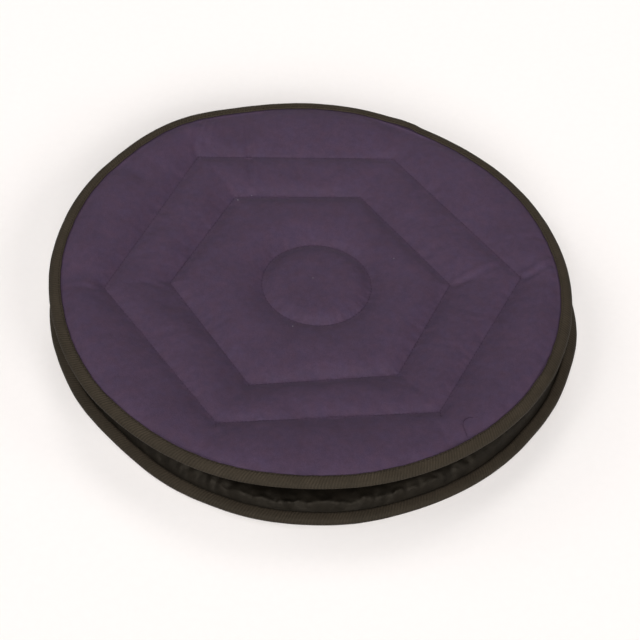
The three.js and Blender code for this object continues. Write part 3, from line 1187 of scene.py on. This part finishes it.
def make_tape(edge):
    """A bias tape folded over a pad's edge, with its small waves, the pull of its stitches and its laps."""
    tape = TAPES[edge]
    stations, radii, centre_x = tape["stations"], tape["radii"], tape["centre_x"]
    seed = RANDOM_SEED + tape["laps"][0]

    def wavy(station, turned):
        point = tape["place"](station, turned)
        angle = math.radians(turned)
        round_trip = Vector((math.cos(angle), math.sin(angle), seed))
        wave = 0.18 * noise.noise(round_trip * 18) + 0.18 * noise.noise(round_trip * 6)
        outside = station["height"] > stations[-1]["height"]
        thicker = lap_height(turned + FIRST_SPOKE_DEG, tape["laps"]) if outside else 0.0
        pulled = 0.0
        if station["inward"] > 7 and outside:
            pulled = 0.5 * noise.noise(round_trip * 45) + 0.3 * noise.noise(round_trip * 20)
        outwards = Vector((point.x, point.y, 0)).normalized()
        upwards = Vector((0, 0, 0.5 * wave + 0.6 * thicker))
        return point + outwards * (wave + pulled + 0.5 * thicker) + upwards

    shape = turned_mesh(stations, TAPE_STEPS, wavy, ring=True)
    piece = as_object(shape, f"{edge}_binding_tape", centre_x)
    subdivide(piece)
    inward = seen_from_above(piece, radii, centre_x)[2]
    # Painted shade of the tape's outer fold, stored as a share from 0 further in to 1 at the edge
    store_attribute(piece.data, "fold", np.clip((FOLD_SHADE_WIDTH - inward) / FOLD_SHADE_WIDTH, 0, 1))
    # Lit and shaded copies of one tape colour: painted light on the upper tape, painted shade on the base
    # tape
    colour = [tape["painted_light_scale"] * value for value in bpy.context.scene.cushion_colours.olive]
    tape_cloth = ribbed_tape(f"olive_tape_{edge}", colour, centre_x, sum(radii) / len(radii))
    piece.data.materials.append(tape_cloth)
    shade_smooth(piece)
    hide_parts(tape["node"])
    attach(piece, tape["body"])


class CUSHION_OT_bindings(Operator):
    """Folds the bias tape over the edges of both pads"""

    bl_idname = "cushion.bindings"
    bl_label = "Bias Bindings"

    def execute(self, context):
        for edge in TAPES:
            make_tape(edge)
        return {"FINISHED"}


def finish_sewing(shape, name, material, body):
    piece = as_object(shape, name)
    piece.data.materials.append(material)
    shade_smooth(piece)
    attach(piece, body)


class CUSHION_OT_quilting_thread(Operator):
    """Sews the circle and both hexagons through the cover, with the loose end of the thread"""

    bl_idname = "cushion.quilting_thread"
    bl_label = "Quilting Thread"

    def execute(self, context):
        sewing = context.scene.cushion_sewing
        surface = surface_of(bpy.data.objects["quilted_pad"])
        circle = [line_point("circle", turned) for turned in range(0, 360, 3)]
        shape = bmesh.new()
        for route in (circle, INNER_CORNERS, OUTER_CORNERS):
            sew(shape, surface, route, TURN_AXIS_X, sewing.stitch_length, sewing.thread_width)
        for tail in LINE_TAILS:
            route = [polar(*end) for end in tail]
            sew(shape, surface, route, TURN_AXIS_X, sewing.stitch_length, sewing.thread_width, closed=False)
        points = []
        for azimuth, radius, above in LOOSE_END:
            flat = polar(azimuth, radius)
            points.append(seat(surface, flat.x + TURN_AXIS_X, flat.y, above))
        add_thread(shape, points, 0.75 * sewing.thread_width)
        material = thread_material("purple_thread", context.scene.cushion_colours.thread)
        finish_sewing(shape, "quilting_thread", material, "top")
        return {"FINISHED"}


class CUSHION_OT_binding_thread(Operator):
    """Sews both bindings down along their inner edges"""

    bl_idname = "cushion.binding_thread"
    bl_label = "Binding Thread"

    def execute(self, context):
        sewing = context.scene.cushion_sewing
        material = thread_material("olive_thread", context.scene.cushion_colours.olive, brightness=0.7)
        for edge, tape in TAPES.items():
            route = [inside_edge(tape["radii"], turned, tape["stitched"]) for turned in range(0, 360, 2)]
            shape = bmesh.new()
            surface = surface_of(bpy.data.objects[f"{edge}_binding_tape"])
            sew(shape, surface, route, tape["centre_x"], sewing.binding_stitch, sewing.thread_width)
            finish_sewing(shape, f"{edge}_binding_thread", material, tape["body"])
        return {"FINISHED"}


class CUSHION_OT_fluff(Operator):
    """Lays a few specks of pale fluff on the cover"""

    bl_idname = "cushion.fluff"
    bl_label = "Fluff"

    size = 0.34

    def execute(self, context):
        surface = surface_of(bpy.data.objects["quilted_pad"])
        rng = random.Random(RANDOM_SEED)
        shape = bmesh.new()
        for azimuth, radius in FLUFF:
            flat = polar(azimuth, radius)
            place = seat(surface, flat.x + TURN_AXIS_X, flat.y, 0.2)
            stretch = Matrix.Diagonal((rng.uniform(0.8, 1.4), rng.uniform(0.8, 1.4), 0.6, 1))
            turn = Matrix.Rotation(rng.uniform(0, math.pi), 4, "Z")
            matrix = Matrix.Translation(place) @ turn @ stretch
            bmesh.ops.create_icosphere(shape, subdivisions=1, radius=self.size * MM, matrix=matrix)
        material = thread_material("pale_fluff", (0.30, 0.28, 0.30))
        finish_sewing(shape, "cover_fluff", material, "top")
        return {"FINISHED"}


class CUSHION_OT_stage(Operator):
    """Makes the pale floor, the soft light and the camera"""

    bl_idname = "cushion.stage"
    bl_label = "Studio"

    # Place of the camera and the way it looks, worked out from the photograph's outlines
    camera_distance = 1335.93
    camera_elevation = 46.451
    camera_pan = 0.401
    camera_tilt = -1.444
    camera_roll = 4.666

    def execute(self, context):
        studio = context.scene.cushion_studio
        self.make_floor(studio)
        self.make_light(context, studio)
        self.make_camera(context, studio)
        context.scene.view_settings.view_transform = "Standard"
        return {"FINISHED"}

    def make_floor(self, studio):
        shape = bmesh.new()
        bmesh.ops.create_grid(shape, x_segments=8, y_segments=8, size=20)
        floor = as_object(shape, "studio_floor")
        floor.data.materials.append(floor_material(studio.floor))

    def make_light(self, context, studio):
        world = bpy.data.worlds.new("studio_dome")
        world.use_nodes = True
        sky = world.node_tree.nodes["Background"]
        sky.inputs["Color"].default_value = (1.0, 0.99, 0.985, 1)
        sky.inputs["Strength"].default_value = studio.dome
        context.scene.world = world
        for name, azimuth, elevation, share in LIGHTS:
            lamp = bpy.data.lights.new(name, "SUN")
            lamp.energy = studio.key * share
            lamp.angle = math.radians(LIGHT_SPREAD_DEG)
            light = bpy.data.objects.new(name, lamp)
            context.scene.collection.objects.link(light)
            flat = polar(azimuth, math.cos(math.radians(elevation)))
            towards = Vector((flat.x, flat.y, math.sin(math.radians(elevation))))
            light.rotation_mode = "QUATERNION"
            light.rotation_quaternion = (-towards).to_track_quat("-Z", "Y")

    def make_camera(self, context, studio):
        elevation = math.radians(self.camera_elevation)
        pan = math.radians(self.camera_pan)
        tilt = math.radians(self.camera_tilt)
        roll = math.radians(self.camera_roll)
        offset = Vector((0, -math.cos(elevation), math.sin(elevation))) * self.camera_distance
        ahead = -offset.normalized()
        right = Vector((1, 0, 0))
        up = right.cross(ahead)
        look = ahead * (math.cos(tilt) * math.cos(pan)) + right * (math.sin(pan) * math.cos(tilt))
        look = (look + up * math.sin(tilt)).normalized()
        side = look.cross(up).normalized()
        top = side.cross(look)
        x_axis = side * math.cos(roll) + top * math.sin(roll)
        y_axis = top * math.cos(roll) - side * math.sin(roll)
        place = (offset + Vector((TURN_AXIS_X, 0, RIM_HEIGHT))) * MM
        camera = bpy.data.objects.new("studio_camera", bpy.data.cameras.new("studio_camera"))
        camera.data.lens = studio.lens
        camera.data.sensor_width = 36.0
        turn = Matrix((x_axis, y_axis, -look)).transposed()
        camera.matrix_world = Matrix.Translation(place) @ turn.to_4x4()
        context.scene.collection.objects.link(camera)
        context.scene.camera = camera


class CUSHION_PT_panel(Panel):
    """Lists the cushion's pieces"""

    bl_idname = "CUSHION_PT_panel"
    bl_label = "Swivel Seat Cushion"
    bl_space_type = "VIEW_3D"
    bl_region_type = "UI"
    bl_category = "Cushion"

    def draw(self, context):
        for operator in OPERATORS:
            self.layout.operator(operator.bl_idname)
        for settings in (
            context.scene.cushion_sewing,
            context.scene.cushion_colours,
            context.scene.cushion_studio,
        ):
            for name in settings.__annotations__:
                self.layout.prop(settings, name)


SETTINGS = {
    "cushion_sewing": CushionSewing,
    "cushion_colours": CushionColours,
    "cushion_studio": CushionStudio,
}
OPERATORS = (
    CUSHION_OT_stage,
    CUSHION_OT_quilted_pad,
    CUSHION_OT_base_pad,
    CUSHION_OT_bindings,
    CUSHION_OT_quilting_thread,
    CUSHION_OT_binding_thread,
    CUSHION_OT_fluff,
)


def register():
    for group in SETTINGS.values():
        bpy.utils.register_class(group)
    for name, group in SETTINGS.items():
        setattr(bpy.types.Scene, name, PointerProperty(type=group))
    for operator in OPERATORS:
        bpy.utils.register_class(operator)
    bpy.utils.register_class(CUSHION_PT_panel)


def unregister():
    bpy.utils.unregister_class(CUSHION_PT_panel)
    for operator in reversed(OPERATORS):
        bpy.utils.unregister_class(operator)
    for name in SETTINGS:
        delattr(bpy.types.Scene, name)
    for group in reversed(SETTINGS.values()):
        bpy.utils.unregister_class(group)


def main():
    register()
    bpy.ops.cushion.stage()
    bpy.ops.cushion.quilted_pad()
    bpy.ops.cushion.base_pad()
    bpy.ops.cushion.bindings()
    bpy.ops.cushion.quilting_thread()
    bpy.ops.cushion.binding_thread()
    bpy.ops.cushion.fluff()


if __name__ == "__main__":
    main()
